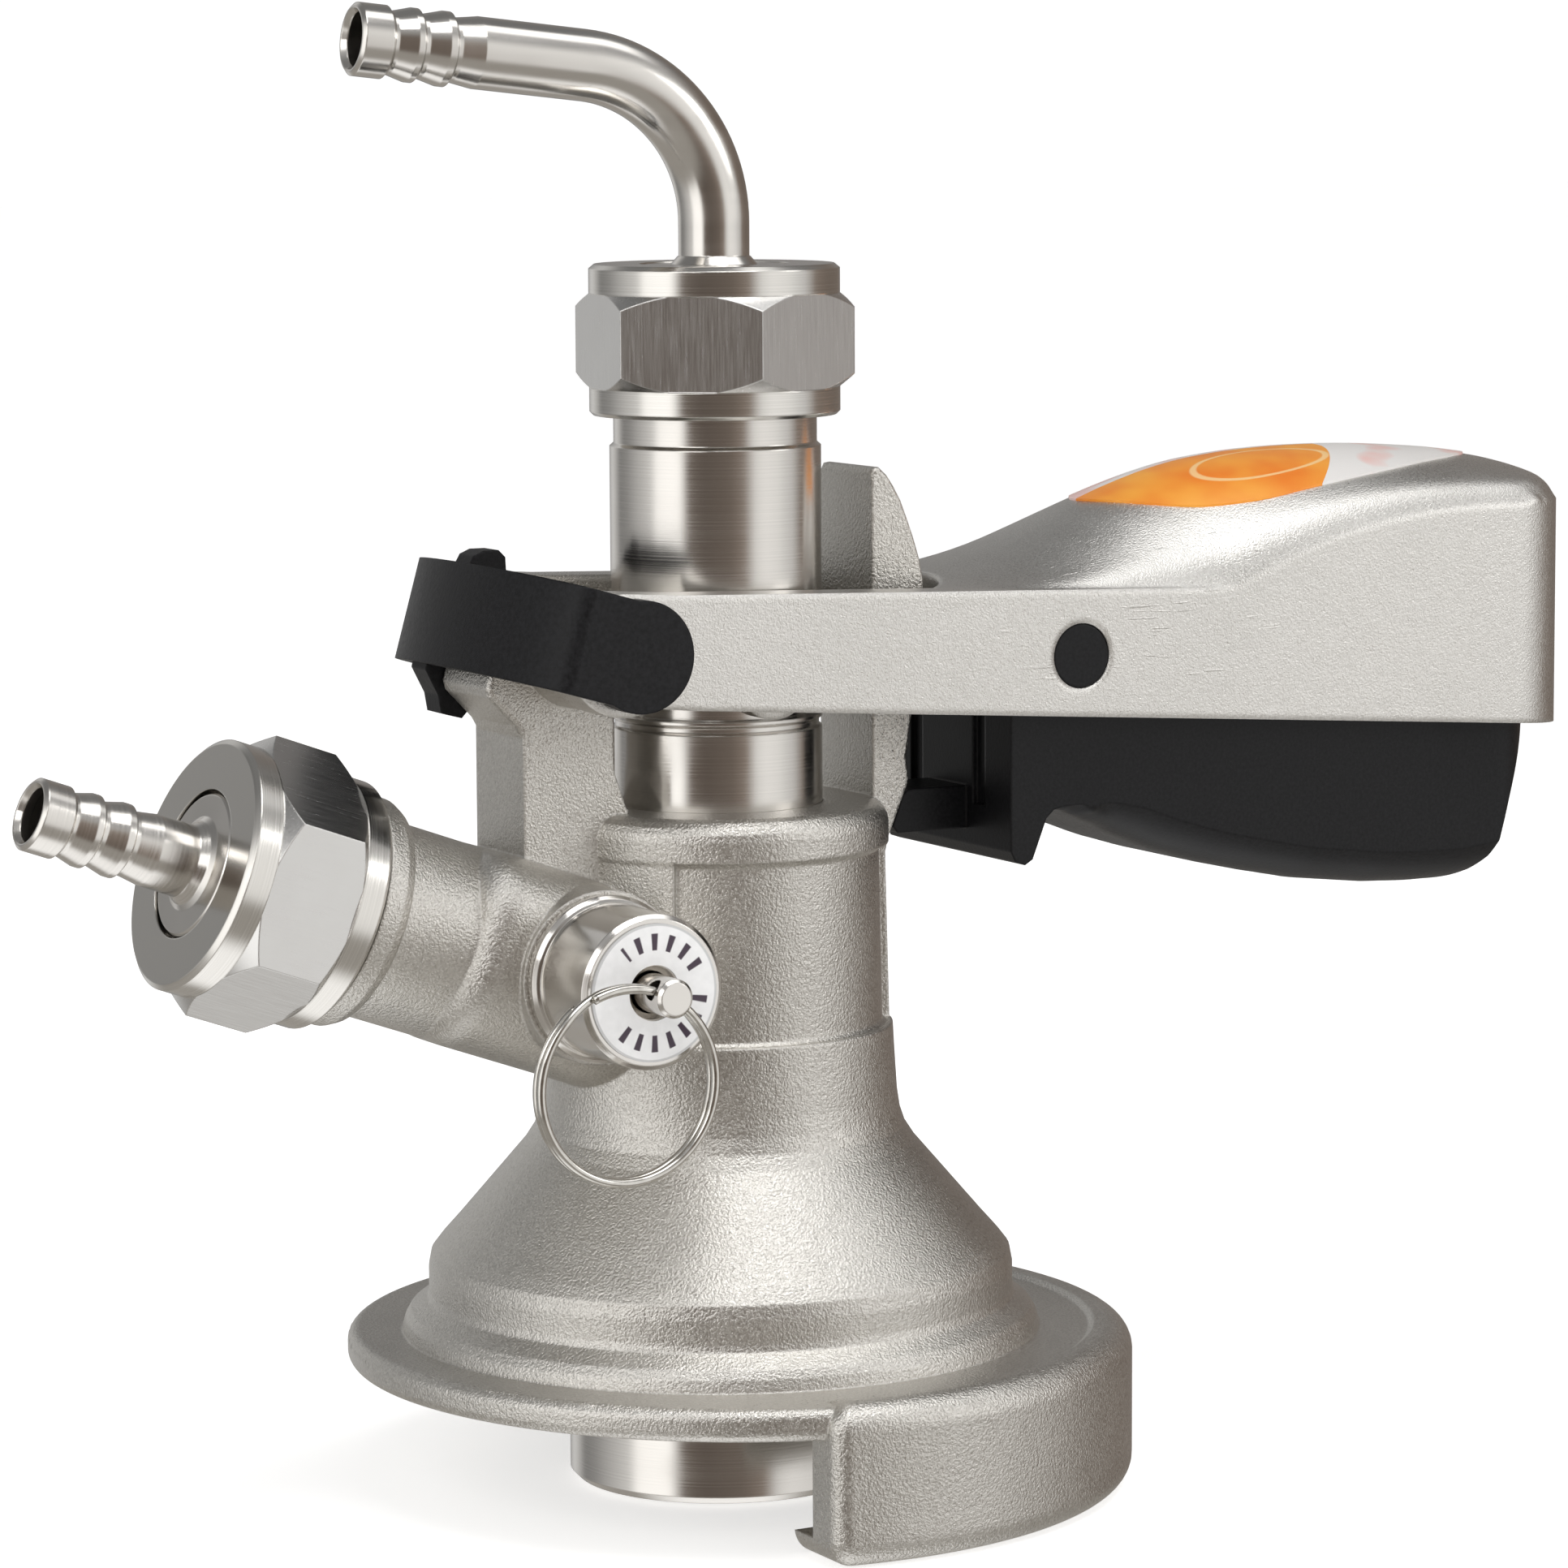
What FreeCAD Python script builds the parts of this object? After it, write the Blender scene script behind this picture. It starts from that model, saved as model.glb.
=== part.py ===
import FreeCAD, Part
import os
import math

os.makedirs("parts", exist_ok=True)
V = FreeCAD.Vector
X, Y, Z = V(1, 0, 0), V(0, 1, 0), V(0, 0, 1)

# ---------------------------------------------------------------- dimensions (mm)
# keg interface: slider skirt and flange
SKIRT_R = 46.0
SKIRT_H = 17.7
SKIRT_END_X = -10.5
SLOT_HALF = 39.6          # half width of the slot above the lip
LIP_HALF = 35.6           # half width between the lips
LIP_H = 2.7
FLANGE_Z0, FLANGE_Z1 = 13.6, 17.2
FLANGE_R, FLANGE_CX = 45.1, 3.7
# neck and probe bore
NECK_TOP = 76.2
GUIDE_R = 11.75           # running bore for the probe
CHAMBER_R = 14.0
# probe
PROBE_R = 11.65
HEAD_R = 17.0
HEAD_Z0 = 0.5
GROOVE_R = 9.9
GROOVE_Z0, GROOVE_Z1 = 86.1, 96.1
PROBE_TOP = 128.2
PROBE_BORE = 5.0
# union joint
NUT_AF = 27.0
NUT_COLLAR_R = 13.8
NUT_LEN = 16.5
NUT_HOLE_R = 8.2
THREAD_R = 11.45
NUT_BORE_R = 11.5
TAIL_FLANGE_R = 11.2
TAIL_HUB_R = 8.0
# hose tails
TAIL_R = 3.9
TAIL_BORE_R = 2.9
BEND_R = 17.2
BEND_CORNER_Z = 155.4
TAIL_RISE = 6.3
TAIL_YAW = 5.0
TAIL_END_RUN = 42.0
# gas branch
GAS_SLOPE = 19.77
GAS_FACE = V(-63.06, 0, 73.61)
BRANCH_R = 10.8
GAS_BORE_R = 6.0
# relief valve
REL_X, REL_Z = -21.3, 59.8
REL_SEAT_Y = -13.4
REL_FACE_Y = -25.0
REL_R = 8.35
RING_MEAN_R = 10.3
RING_WIRE_R = 0.5
RING_DX, RING_DZ = -4.6, -8.6
# lever
PIV_X, PIV_Z = -20.5, 94.8
ARM_IN, ARM_OUT = 12.4, 17.5
ARM_END_R = 6.6
BOSS_R = 4.65
BOSS_TIP_Y = 10.2
BOSS_Z = 91.1
PIN_R = 3.0
HANDLE_END_X = 106.3
WALL = 3.0
# trigger
TP_X, TP_Z = 36.6, 91.8
TP_R = 3.0
TRIG_HALF = 13.9


# ---------------------------------------------------------------- helpers
def cyl(r, h, base, axis=Z):
    return Part.makeCylinder(r, h, base, axis)


def revolve(points, base=V(0, 0, 0), axis=Z, radial=X):
    """points: (r, s) polygon in the half plane of radial and axis."""
    pts = [base + radial * p[0] + axis * p[1] for p in points]
    w = Part.makePolygon(pts + [pts[0]])
    return Part.Face(w).revolve(base, axis, 360)


def prism(points, y0, y1):
    """points: (x, z) polygon, extruded from y0 to y1."""
    pts = [V(p[0], y0, p[1]) for p in points]
    w = Part.makePolygon(pts + [pts[0]])
    return Part.Face(w).extrude(V(0, y1 - y0, 0))


def soft(shape, chooser, radii):
    """fillet the chosen edges with the first radius that works"""
    edges = [e for e in shape.Edges if chooser(e)]
    for r in radii:
        try:
            s = shape.makeFillet(r, edges)
            if s.isValid() and s.Volume > 0 and len(s.Solids) == 1:
                return s
        except Exception:
            pass
    print("fillet left out", len(edges), radii)
    return shape


def one(shape):
    if shape.ShapeType == "Compound" and len(shape.Solids) == 1:
        shape = shape.Solids[0]
    return shape


def frame_at(base, axis, ref):
    """matrix that carries local Z to axis, local X to ref"""
    a = V(axis); a.normalize()
    x = V(ref) - a * a.dot(ref); x.normalize()
    y = a.cross(x)
    return FreeCAD.Matrix(x.x, y.x, a.x, base.x, x.y, y.y, a.y, base.y,
                          x.z, y.z, a.z, base.z, 0, 0, 0, 1)


def place(shape, m):
    s = shape.copy()
    s.Placement = FreeCAD.Placement(m)
    return s


nodes = {}


def keep(name, shape):
    shape = one(shape)
    if shape.ShapeType == "Compound":
        print(name, "solids", len(shape.Solids), [round(s.Volume, 1) for s in shape.Solids])
        shape = max(shape.Solids, key=lambda s: s.Volume)
    nodes[name] = shape


# ---------------------------------------------------------------- union nut (local: face at 0, body towards -Z)
def make_nut(turn):
    L = NUT_LEN
    blank = revolve([(0, 0), (NUT_COLLAR_R - 0.6, 0), (NUT_COLLAR_R, -0.5), (NUT_COLLAR_R, -3.2),
                     (15.7, -3.2), (15.7, -L + 3.0), (NUT_COLLAR_R, -L + 3.0),
                     (NUT_COLLAR_R, -L + 0.4), (NUT_COLLAR_R - 0.4, -L), (0, -L)])
    R = NUT_AF / 2 / math.cos(math.pi / 6)
    hexa = [V(R * math.cos(math.radians(turn + 60 * i)), R * math.sin(math.radians(turn + 60 * i)), 0)
            for i in range(6)]
    prismh = Part.Face(Part.makePolygon(hexa + [hexa[0]])).extrude(V(0, 0, -L - 1))
    prismh.translate(V(0, 0, 0.5))
    cone = revolve([(0, 1), (NUT_AF / 2 + 0.25, 1), (NUT_AF / 2 + 0.25, -3.2), (R + 0.6, -5.2),
                    (R + 0.6, -L + 5.0), (NUT_AF / 2 + 0.25, -L + 3.0), (NUT_AF / 2 + 0.25, -L - 1), (0, -L - 1)])
    hexpart = prismh.common(cone).common(cyl(20, L - 6.2, V(0, 0, -L + 3.0)))
    ends = blank.common(cyl(NUT_COLLAR_R, L, V(0, 0, -L)))
    core = ends.common(cyl(20, 3.2, V(0, 0, -3.2))).fuse(ends.common(cyl(20, 3.0, V(0, 0, -L))))
    body = core.fuse(hexpart)
    body = body.cut(cyl(NUT_HOLE_R, 5, V(0, 0, -4)))
    body = body.cut(cyl(NUT_BORE_R, L, V(0, 0, -L - 2.8)))
    body = body.cut(revolve([(0, -L - 0.01), (NUT_BORE_R + 0.7, -L - 0.01), (NUT_BORE_R, -L + 0.7), (0, -L + 0.7)]))
    return body.removeSplitter()


# barb profile from the open end: (distance, radius)
BARBS = [(0.0, 3.55), (0.35, 3.95), (3.5, 3.95), (3.9, 3.45), (4.3, 3.45), (6.3, 4.0), (7.0, 4.0), (7.3, 3.5),
         (7.8, 3.5), (9.9, 4.05), (10.7, 4.05), (11.0, 3.5), (11.5, 3.5), (14.0, TAIL_R)]


# ---------------------------------------------------------------- body casting
def make_body():
    out = [(0, FLANGE_Z0), (35.6, FLANGE_Z0), (35.6, 17.5), (35.3, 18.6), (34.7, 19.6), (33.6, 20.4), (32.8, 21.0),
           (32.6, 21.8), (32.6, 24.4), (32.3, 26.0), (31.3, 27.3), (29.6, 29.2), (21.8, 38.3), (20.7, 40.0),
           (20.1, 41.8), (19.8, 43.8), (19.35, 51.4), (19.15, 51.7), (18.75, 69.5), (18.75, 71.2), (18.95, 71.7),
           (18.95, 73.9), (18.8, 74.7), (18.4, 75.4), (17.8, 75.9), (16.9, NECK_TOP), (0, NECK_TOP)]
    bell = revolve(out)
    # shallow recessed panel on each side of the neck below its top band
    band = revolve([(18.2, 51.9), (18.6, 51.5), (22, 51.5), (22, 71.7), (18.4, 71.5), (17.85, 70.9)])
    for s in (-1, 1):
        sector = [V(0, 0, 0)] + [V(40 * math.sin(math.radians(a)), s * 40 * math.cos(math.radians(a)), 0)
                                 for a in (-43, -10, 30, 68)]
        bell = bell.cut(band.common(Part.Face(Part.makePolygon(sector + [sector[0]])).extrude(V(0, 0, 100))))
    flange = cyl(FLANGE_R, FLANGE_Z1 - FLANGE_Z0, V(FLANGE_CX, 0, FLANGE_Z0))
    flange = flange.makeFillet(1.3, flange.Edges[0:1] + [e for e in flange.Edges[1:] if len(e.Vertexes) == 1])
    # behind the slider opening the flange stays inside the rim of the skirt
    rim = revolve([(0, 0), (SKIRT_R, 0), (SKIRT_R, 14.7), (45.1, 16.4), (44.2, FLANGE_Z1), (44.2, 20), (0, 20)])
    flange = flange.common(rim.fuse(Part.makeBox(60, 120, 40, V(SKIRT_END_X - 60, -60, 0))))
    # skirt: rounded ring cut back to the slider opening
    ring = cyl(SKIRT_R, SKIRT_H, V(0, 0, 0)).common(Part.makeBox(100, 100, 40, V(SKIRT_END_X, -50, -5)))
    ring = ring.makeFillet(2.2, [e for e in ring.Edges if e.BoundBox.ZLength > 5
                                 and abs(e.BoundBox.XMax - SKIRT_END_X) < 1e-3])
    ring = soft(ring, lambda e: abs(e.BoundBox.ZMin - SKIRT_H) < 1e-6, (3.0, 2.4, 1.8, 1.2))
    ring = soft(ring, lambda e: abs(e.BoundBox.ZMax) < 1e-6, (3.0, 2.5, 2.0, 1.5, 1.0))
    ring = ring.cut(revolve([(0, FLANGE_Z1 - 0.3), (40.6, FLANGE_Z1 - 0.3), (42.2, SKIRT_H + 0.3), (0, SKIRT_H + 0.3)]))
    slot = cyl(SLOT_HALF, FLANGE_Z0 - LIP_H, V(0, 0, LIP_H)).fuse(
        Part.makeBox(80, 2 * SLOT_HALF, FLANGE_Z0 - LIP_H, V(-80, -SLOT_HALF, LIP_H)))
    mouth = cyl(LIP_HALF, LIP_H + 2, V(0, 0, -2)).fuse(
        Part.makeBox(80, 2 * LIP_HALF, LIP_H + 2, V(-80, -LIP_HALF, -2)))
    skirt = ring.cut(slot).cut(mouth)
    body = bell.fuse([flange, skirt])

    # gas branch along the sloping axis
    d = V(-math.cos(math.radians(GAS_SLOPE)), 0, math.sin(math.radians(GAS_SLOPE)))
    foot = GAS_FACE - d * 66.9            # near the probe axis
    seat = GAS_FACE - d * 7.3             # end of the threaded spigot
    branch = cyl(BRANCH_R, (GAS_FACE - d * (NUT_LEN + 1.2) - foot).Length, foot, d)
    collar = place(revolve([(0, -20.7), (11.2, -20.7), (12.2, -20.1), (12.7, -19.1), (12.7, -17.0), (0, -17.0)]),
                   frame_at(GAS_FACE, d, Y))
    relief_groove = cyl(10.6, 2.2, GAS_FACE - d * (NUT_LEN + 1.2), d)
    spigot = cyl(THREAD_R, (seat - (GAS_FACE - d * (NUT_LEN - 0.6))).Length, GAS_FACE - d * (NUT_LEN - 0.6), d)
    block = Part.makeBox(21.9, 25.0, 38.0, V(-10.95, -12.5, 0))
    block = block.makeFillet(9.8, [e for e in block.Edges if e.BoundBox.ZLength > 30 and e.BoundBox.XMax < -10])
    block = block.makeFillet(6.8, [e for e in block.Edges if e.BoundBox.ZLength > 30 and e.BoundBox.XMin > 10.9
                                   and abs(e.BoundBox.YMax) > 12.4])
    block = soft(block, lambda e: abs(e.BoundBox.ZMin - 38.0) < 1e-3, (4.0, 3.0, 1.6, 1.0))
    block = place(block, frame_at(foot, d, X))
    boss = cyl(9.5, -REL_SEAT_Y - 1.0, V(REL_X, REL_SEAT_Y, REL_Z), Y)
    # front (hinge) post
    fp = prism([(-26.8, 60), (-26.8, 85.2), (-27.6, 86.6), (-30.7, 89.8), (-31.0, 90.8), (-30.5, 92.6),
                (-29.3, 96.6), (-28.5, 98.6), (-27.0, 100.1), (-25.5, 100.4), (-19.0, 100.4), (-16.6, 99.2), (-15.5, 96.8), (-15.5, 80.0),
                (-14.4, 76.8), (-12.5, 75.6), (-12.5, 60)], -5.8, 5.8)
    fp = soft(fp, lambda e: e.BoundBox.YLength < 0.01 and e.BoundBox.ZMin > 76.0 and e.BoundBox.XMax < -14.8,
              (1.1, 0.7))
    ears = cyl(6.5, 2 * 12.1, V(PIV_X, -12.1, PIV_Z), Y)
    # rear (catch) post and its foot
    rp = prism([(16.5, 60), (16.5, 112.1), (16.8, 112.7), (17.5, 112.8), (18.5, 111.9), (19.4, 110.6), (20.3, 109.0),
                (21.1, 107.0), (21.9, 104.9), (22.7, 102.4), (23.2, 99.8), (23.2, 95.0), (22.0, 87.0), (20.9, 80.4), (21.15, 78.6), (20.9, 77.4), (18.4, 71.5),
                (17.6, 68.0), (17.4, 60)], -5.9, 5.9)
    rp = soft(rp, lambda e: e.BoundBox.YLength < 0.01 and e.BoundBox.ZMin > 78.0, (0.9, 0.5))
    rib = Part.makeBox(4.6, 6.4, 20.0, V(15.0, -3.2, 52.0))
    solid = branch.fuse([collar, relief_groove, spigot, block, boss, fp, ears, rp, rib])
    body = body.fuse(solid)

    # hollows
    cav = revolve([(0, FLANGE_Z0 - 0.5), (27.5, FLANGE_Z0 - 0.5), (27.5, 22.5), (26.2, 25.2), (18.4, 34.0),
                   (CHAMBER_R, 37.0), (CHAMBER_R, 61.5), (GUIDE_R, 63.5), (GUIDE_R, NECK_TOP + 1), (0, NECK_TOP + 1)])
    body = body.cut(cav)
    # keep the branch and posts out of the slot between probe and posts
    body = body.cut(cyl(15.3, 45, V(0, 0, NECK_TOP)))
    # O-ring grooves of the guide bore
    for z in (66.2, 71.4):
        body = body.cut(revolve([(GUIDE_R - 1, z), (14.0, z), (14.0, z + 2.6), (GUIDE_R - 1, z + 2.6)]))
    gas = cyl(GAS_BORE_R, (seat - foot).Length - 12.0, foot + d * 13.0, d)
    body = body.cut(gas)
    body = body.cut(cyl(8.2, 6.0, seat - d * 5.0, d))
    body = body.cut(cyl(6.6, 10.0, V(REL_X, REL_SEAT_Y - 1.0, REL_Z), Y))
    body = body.cut(cyl(4.2, 12.0, V(REL_X, REL_SEAT_Y, REL_Z), Y))
    # spot face round the valve barrel
    body = body.cut(cyl(9.5, 9.0, V(REL_X, REL_SEAT_Y - 9.0, REL_Z), Y))
    body = body.cut(cyl(PIN_R, 60, V(PIV_X, -30, PIV_Z), Y))
    return body.removeSplitter(), d, seat, foot


body, GD, SEAT, FOOT = make_body()
keep("body_casting", body)

# ---------------------------------------------------------------- gas side union
m_gas = frame_at(GAS_FACE, GD, V(0, 1, 0))
keep("gas_nut", place(make_nut(28.0), m_gas))
# washer and tail, local Z outwards with 0 at the nut face
keep("gas_washer", place(cyl(TAIL_FLANGE_R, 2.0, V(0, 0, -7.3)).cut(cyl(5.0, 4, V(0, 0, -8))), m_gas))
GAS_TAIL_END = (V(-81.37, 0, 80.19) - GAS_FACE).Length
tail_pts = [(0, -5.3), (TAIL_FLANGE_R, -5.3), (TAIL_FLANGE_R, -2.9), (TAIL_HUB_R - 0.1, -2.9), (TAIL_HUB_R - 0.1, -0.4),
            (TAIL_HUB_R - 0.4, -0.1), (5.2, -0.1), (4.6, 0.3), (TAIL_R + 0.05, 1.2)]
tail_pts += [(r, GAS_TAIL_END - s) for s, r in reversed(BARBS)]
tail_pts += [(0, GAS_TAIL_END)]
gt = revolve(tail_pts).cut(cyl(TAIL_BORE_R, 60, V(0, 0, -10)))
gt = gt.cut(revolve([(0, GAS_TAIL_END + 0.01), (3.35, GAS_TAIL_END + 0.01), (TAIL_BORE_R, GAS_TAIL_END - 0.6),
                     (0, GAS_TAIL_END - 0.6)]))
keep("gas_tail", place(gt, m_gas))
# non-return valve in the end of the branch: collar with a duck-bill
cv = revolve([(0, -9.5), (0.9, -16.5), (2.4, -16.5), (5.0, -10.2), (8.1, -10.2), (8.1, -7.4), (0, -7.4)])
cv = cv.cut(revolve([(0, -7.3), (4.6, -7.3), (3.6, -10.0), (0.35, -15.2), (0, -15.2)]))
cv = cv.cut(Part.makeBox(8, 0.3, 8, V(-4, -0.15, -17.0)))
keep("gas_check_valve", place(cv, m_gas))

# ---------------------------------------------------------------- probe
pr = revolve([(0, HEAD_Z0), (16.2, HEAD_Z0), (HEAD_R, HEAD_Z0 + 0.8), (HEAD_R, 12.4), (16.2, 13.6), (PROBE_R, 17.6),
              (PROBE_R, 84.6), (PROBE_R - 0.35, 84.9), (PROBE_R - 0.35, 85.4), (PROBE_R, 85.7), (PROBE_R, GROOVE_Z0),
              (GROOVE_R, GROOVE_Z0), (GROOVE_R, GROOVE_Z1), (PROBE_R, GROOVE_Z1), (PROBE_R, 115.6), (11.2, 116.0),
              (11.2, 119.2), (THREAD_R, 119.5), (THREAD_R, PROBE_TOP - 0.6), (THREAD_R - 0.6, PROBE_TOP),
              (0, PROBE_TOP)])
bore = revolve([(0, HEAD_Z0 - 1), (7.2, HEAD_Z0 - 1), (7.2, 6.0), (PROBE_BORE, 9.0), (PROBE_BORE, 100.0), (8.0, 104.0),
                (8.0, PROBE_TOP + 1), (0, PROBE_TOP + 1)])
pr = pr.cut(bore)
pr = pr.cut(revolve([(8.6, HEAD_Z0 - 1), (12.6, HEAD_Z0 - 1), (12.6, HEAD_Z0 + 2.6), (8.6, HEAD_Z0 + 2.6)]))
keep("probe", pr.removeSplitter())
keep("probe_seal", revolve([(8.7, HEAD_Z0 + 0.15), (9.2, HEAD_Z0 - 0.3), (12.0, HEAD_Z0 - 0.3), (12.5, HEAD_Z0 + 0.15),
                            (12.5, HEAD_Z0 + 2.55), (8.7, HEAD_Z0 + 2.55)]))
for nm, z in (("body_o_ring_lower", 66.2), ("body_o_ring_upper", 71.4)):
    keep(nm, Part.makeTorus(12.85, 1.1, V(0, 0, z + 1.3)))
# ball valve in the top of the probe
BALL_R = 5.9
BALL_Z = 103.45
keep("check_ball", Part.makeSphere(BALL_R, V(0, 0, BALL_Z)))
cage = revolve([(7.2, 112.6), (7.95, 112.6), (7.95, PROBE_TOP - 0.05), (7.2, PROBE_TOP - 0.05)])
bars = Part.makeBox(15.0, 1.6, 1.6, V(-7.5, -0.8, 113.0)).fuse(Part.makeBox(1.6, 15.0, 1.6, V(-0.8, -7.5, 113.0)))
keep("ball_cage", cage.fuse(bars).removeSplitter())

# ---------------------------------------------------------------- beer side union
NUT_FACE_Z = PROBE_TOP + 7.3
m_beer = FreeCAD.Matrix(1, 0, 0, 0, 0, 1, 0, 0, 0, 0, 1, NUT_FACE_Z, 0, 0, 0, 1)
keep("beer_nut", place(make_nut(-39.0), m_beer))
keep("beer_washer", cyl(TAIL_FLANGE_R, 2.0, V(0, 0, PROBE_TOP)).cut(cyl(5.0, 4, V(0, 0, PROBE_TOP - 1))))
a = math.radians(TAIL_RISE)
b = math.radians(TAIL_YAW)
h = V(-math.cos(b), math.sin(b), 0)
end_dir = V(h.x * math.cos(a), h.y * math.cos(a), math.sin(a))
corner = V(0, 0, BEND_CORNER_Z)
half = (math.pi / 2 - a) / 2
T = BEND_R * math.tan(half)
p0 = V(0, 0, NUT_FACE_Z - 0.4)
p1 = corner - Z * T
p2 = corner + end_dir * T
p3 = corner + end_dir * (TAIL_END_RUN - 14.0)
ctr = p1 + h * BEND_R
mid_dir = (p1 - ctr) + (p2 - ctr)
mid_dir.normalize()
pm = ctr + mid_dir * BEND_R


def pipe(r):
    path = Part.Wire([Part.LineSegment(p0, p1).toShape(), Part.Arc(p1, pm, p2).toShape(),
                      Part.LineSegment(p2, p3).toShape()])
    prof = Part.Wire([Part.Circle(p0, Z, r).toShape()])
    return path.makePipeShell([prof], True, True)


tube = pipe(TAIL_R)
m_end = frame_at(corner, end_dir, V(0, 1, 0))
barb = revolve([(0, TAIL_END_RUN - 14.0)] + [(r, TAIL_END_RUN - s) for s, r in reversed(BARBS)] + [(0, TAIL_END_RUN)])
barb = place(barb, m_end)
hub = revolve([(0, NUT_FACE_Z - 5.3), (TAIL_FLANGE_R, NUT_FACE_Z - 5.3), (TAIL_FLANGE_R, NUT_FACE_Z - 2.9),
               (TAIL_HUB_R - 0.1, NUT_FACE_Z - 2.9), (TAIL_HUB_R - 0.1, NUT_FACE_Z - 0.4),
               (TAIL_HUB_R - 0.4, NUT_FACE_Z - 0.1), (4.8, NUT_FACE_Z - 0.1), (TAIL_R + 0.1, NUT_FACE_Z + 0.8),
               (0, NUT_FACE_Z + 0.8)])
bt = tube.fuse([barb, hub])
inner = pipe(TAIL_BORE_R)
endhole = place(cyl(TAIL_BORE_R, 16, V(0, 0, TAIL_END_RUN - 14.01)).fuse(
    revolve([(0, TAIL_END_RUN - 0.6), (TAIL_BORE_R, TAIL_END_RUN - 0.6), (3.35, TAIL_END_RUN + 0.01),
             (0, TAIL_END_RUN + 0.01)])), m_end)
bt = bt.cut(inner).cut(endhole).cut(cyl(TAIL_BORE_R, 8, V(0, 0, NUT_FACE_Z - 6)))
keep("beer_tail", bt.removeSplitter())

# ---------------------------------------------------------------- relief valve (axis -Y)
ry = V(0, -1, 0)
rb = V(REL_X, 0, REL_Z)


def rev_y(pts):
    """points (r, distance in front of the probe axis plane)"""
    return revolve(pts, rb, ry, X)


FY = -REL_FACE_Y
SY = -REL_SEAT_Y
rbody = rev_y([(2.2, 5.0), (6.55, 5.0), (6.55, SY), (9.1, SY), (9.1, SY + 1.1), (8.7, SY + 1.5), (REL_R, SY + 1.7),
               (REL_R, FY - 0.5), (REL_R - 0.5, FY), (4.7, FY), (4.7, 6.4), (3.6, 6.4), (2.2, 6.4)])
keep("relief_body", rbody)
keep("relief_cap", rev_y([(2.25, FY - 3.4), (4.65, FY - 3.4), (4.65, FY), (2.9, FY), (2.25, FY - 0.7)]))
keep("relief_label", rev_y([(3.0, FY), (7.4, FY), (7.4, FY + 0.25), (3.0, FY + 0.25)]))
off = V(RING_DX, 0, RING_DZ)
tang = V(-off.z, 0, off.x)
tang.normalize()
hole_y = FY + 3.1
rpin = rev_y([(0, 7.4), (4.3, 7.4), (4.3, 8.6), (1.3, 8.6), (1.3, FY - 4.0), (2.1, FY - 4.0), (2.1, FY + 4.8),
              (1.75, FY + 5.2), (0, FY + 5.2)])
rpin = rpin.cut(cyl(1.15, 12, V(REL_X, -hole_y, REL_Z) - tang * 6, tang))
keep("relief_pin", rpin)
keep("relief_seal", rev_y([(2.3, 6.45), (4.2, 6.45), (4.2, 7.35), (2.3, 7.35)]))


def coil(r, wire, pitch, height, m):
    # each half turn is a half torus in its own tilted plane, so the wire runs on smoothly
    rr = math.hypot(r, pitch / 4)
    phi = math.degrees(math.asin(pitch / 4 / rr))
    halves = []
    for i in range(int(round(2 * height / pitch))):
        t = Part.makeTorus(rr, wire, V(), Z, -180, 180, 180)
        if i % 2:
            t.rotate(V(), Z, 180)
            t.rotate(V(), Y, -phi)
        else:
            t.rotate(V(), Y, phi)
        t.translate(V(0, 0, (i + 0.5) * pitch / 2))
        halves.append(t)
    return place(halves[0].multiFuse(halves[1:]).Solids[0], m)


keep("relief_spring", coil(3.3, 0.35, 2.0, 12.0, frame_at(rb + ry * 9.1, ry, X)))
rc = V(REL_X, -hole_y, REL_Z) + off * (RING_MEAN_R / off.Length)
t1 = Part.makeTorus(RING_MEAN_R, RING_WIRE_R, rc + V(0, -0.48, 0), Y)
t2 = Part.makeTorus(RING_MEAN_R, RING_WIRE_R, rc + V(0, 0.48, 0), Y)
keep("pull_ring", t1.fuse(t2))


# ---------------------------------------------------------------- handle
def arm_top(x):
    return 101.0 - 0.035 * (x + 15.5)


def arm_bot(x):
    return 88.4 - 0.0712 * (x + 11.0)


# stations: x, ridge height, edge height
STATIONS = [(18.0, 99.4, 99.3), (24.0, 99.8, 99.2), (29.0, 100.9, 99.1), (36.0, 103.1, 99.0), (44.5, 106.6, 98.9),
            (50.0, 108.7, 98.9), (56.0, 110.5, 99.7), (62.0, 111.7, 102.1), (71.0, 112.5, 105.2), (82.0, 112.6, 107.3),
            (93.5, 111.9, 107.9), (101.0, 110.9, 107.7), (112.0, 108.9, 106.6)]
SHOULDER = 3.0
REAR_CORNER = 10.0


def station_value(x, k):
    """smooth monotone-like cubic through the stations"""
    S = STATIONS
    n = len(S)
    i = 0
    while i < n - 2 and x > S[i + 1][0]:
        i += 1

    def slope(j):
        if j == 0:
            return (S[1][k] - S[0][k]) / (S[1][0] - S[0][0])
        if j == n - 1:
            return (S[n - 1][k] - S[n - 2][k]) / (S[n - 1][0] - S[n - 2][0])
        return (S[j + 1][k] - S[j - 1][k]) / (S[j + 1][0] - S[j - 1][0])

    h_ = S[i + 1][0] - S[i][0]
    t = (x - S[i][0]) / h_
    t2, t3 = t * t, t * t * t
    return ((2 * t3 - 3 * t2 + 1) * S[i][k] + (t3 - 2 * t2 + t) * h_ * slope(i)
            + (-2 * t3 + 3 * t2) * S[i + 1][k] + (t3 - t2) * h_ * slope(i + 1))


def inset(x, y):
    """distance inside the plan outline of the grip"""
    hw, r = ARM_OUT, REAR_CORNER
    ax, ay = HANDLE_END_X - r, hw - r
    if x > ax and abs(y) > ay:
        return r - math.hypot(x - ax, abs(y) - ay)
    return min(hw - abs(y), HANDLE_END_X - x)


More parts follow.
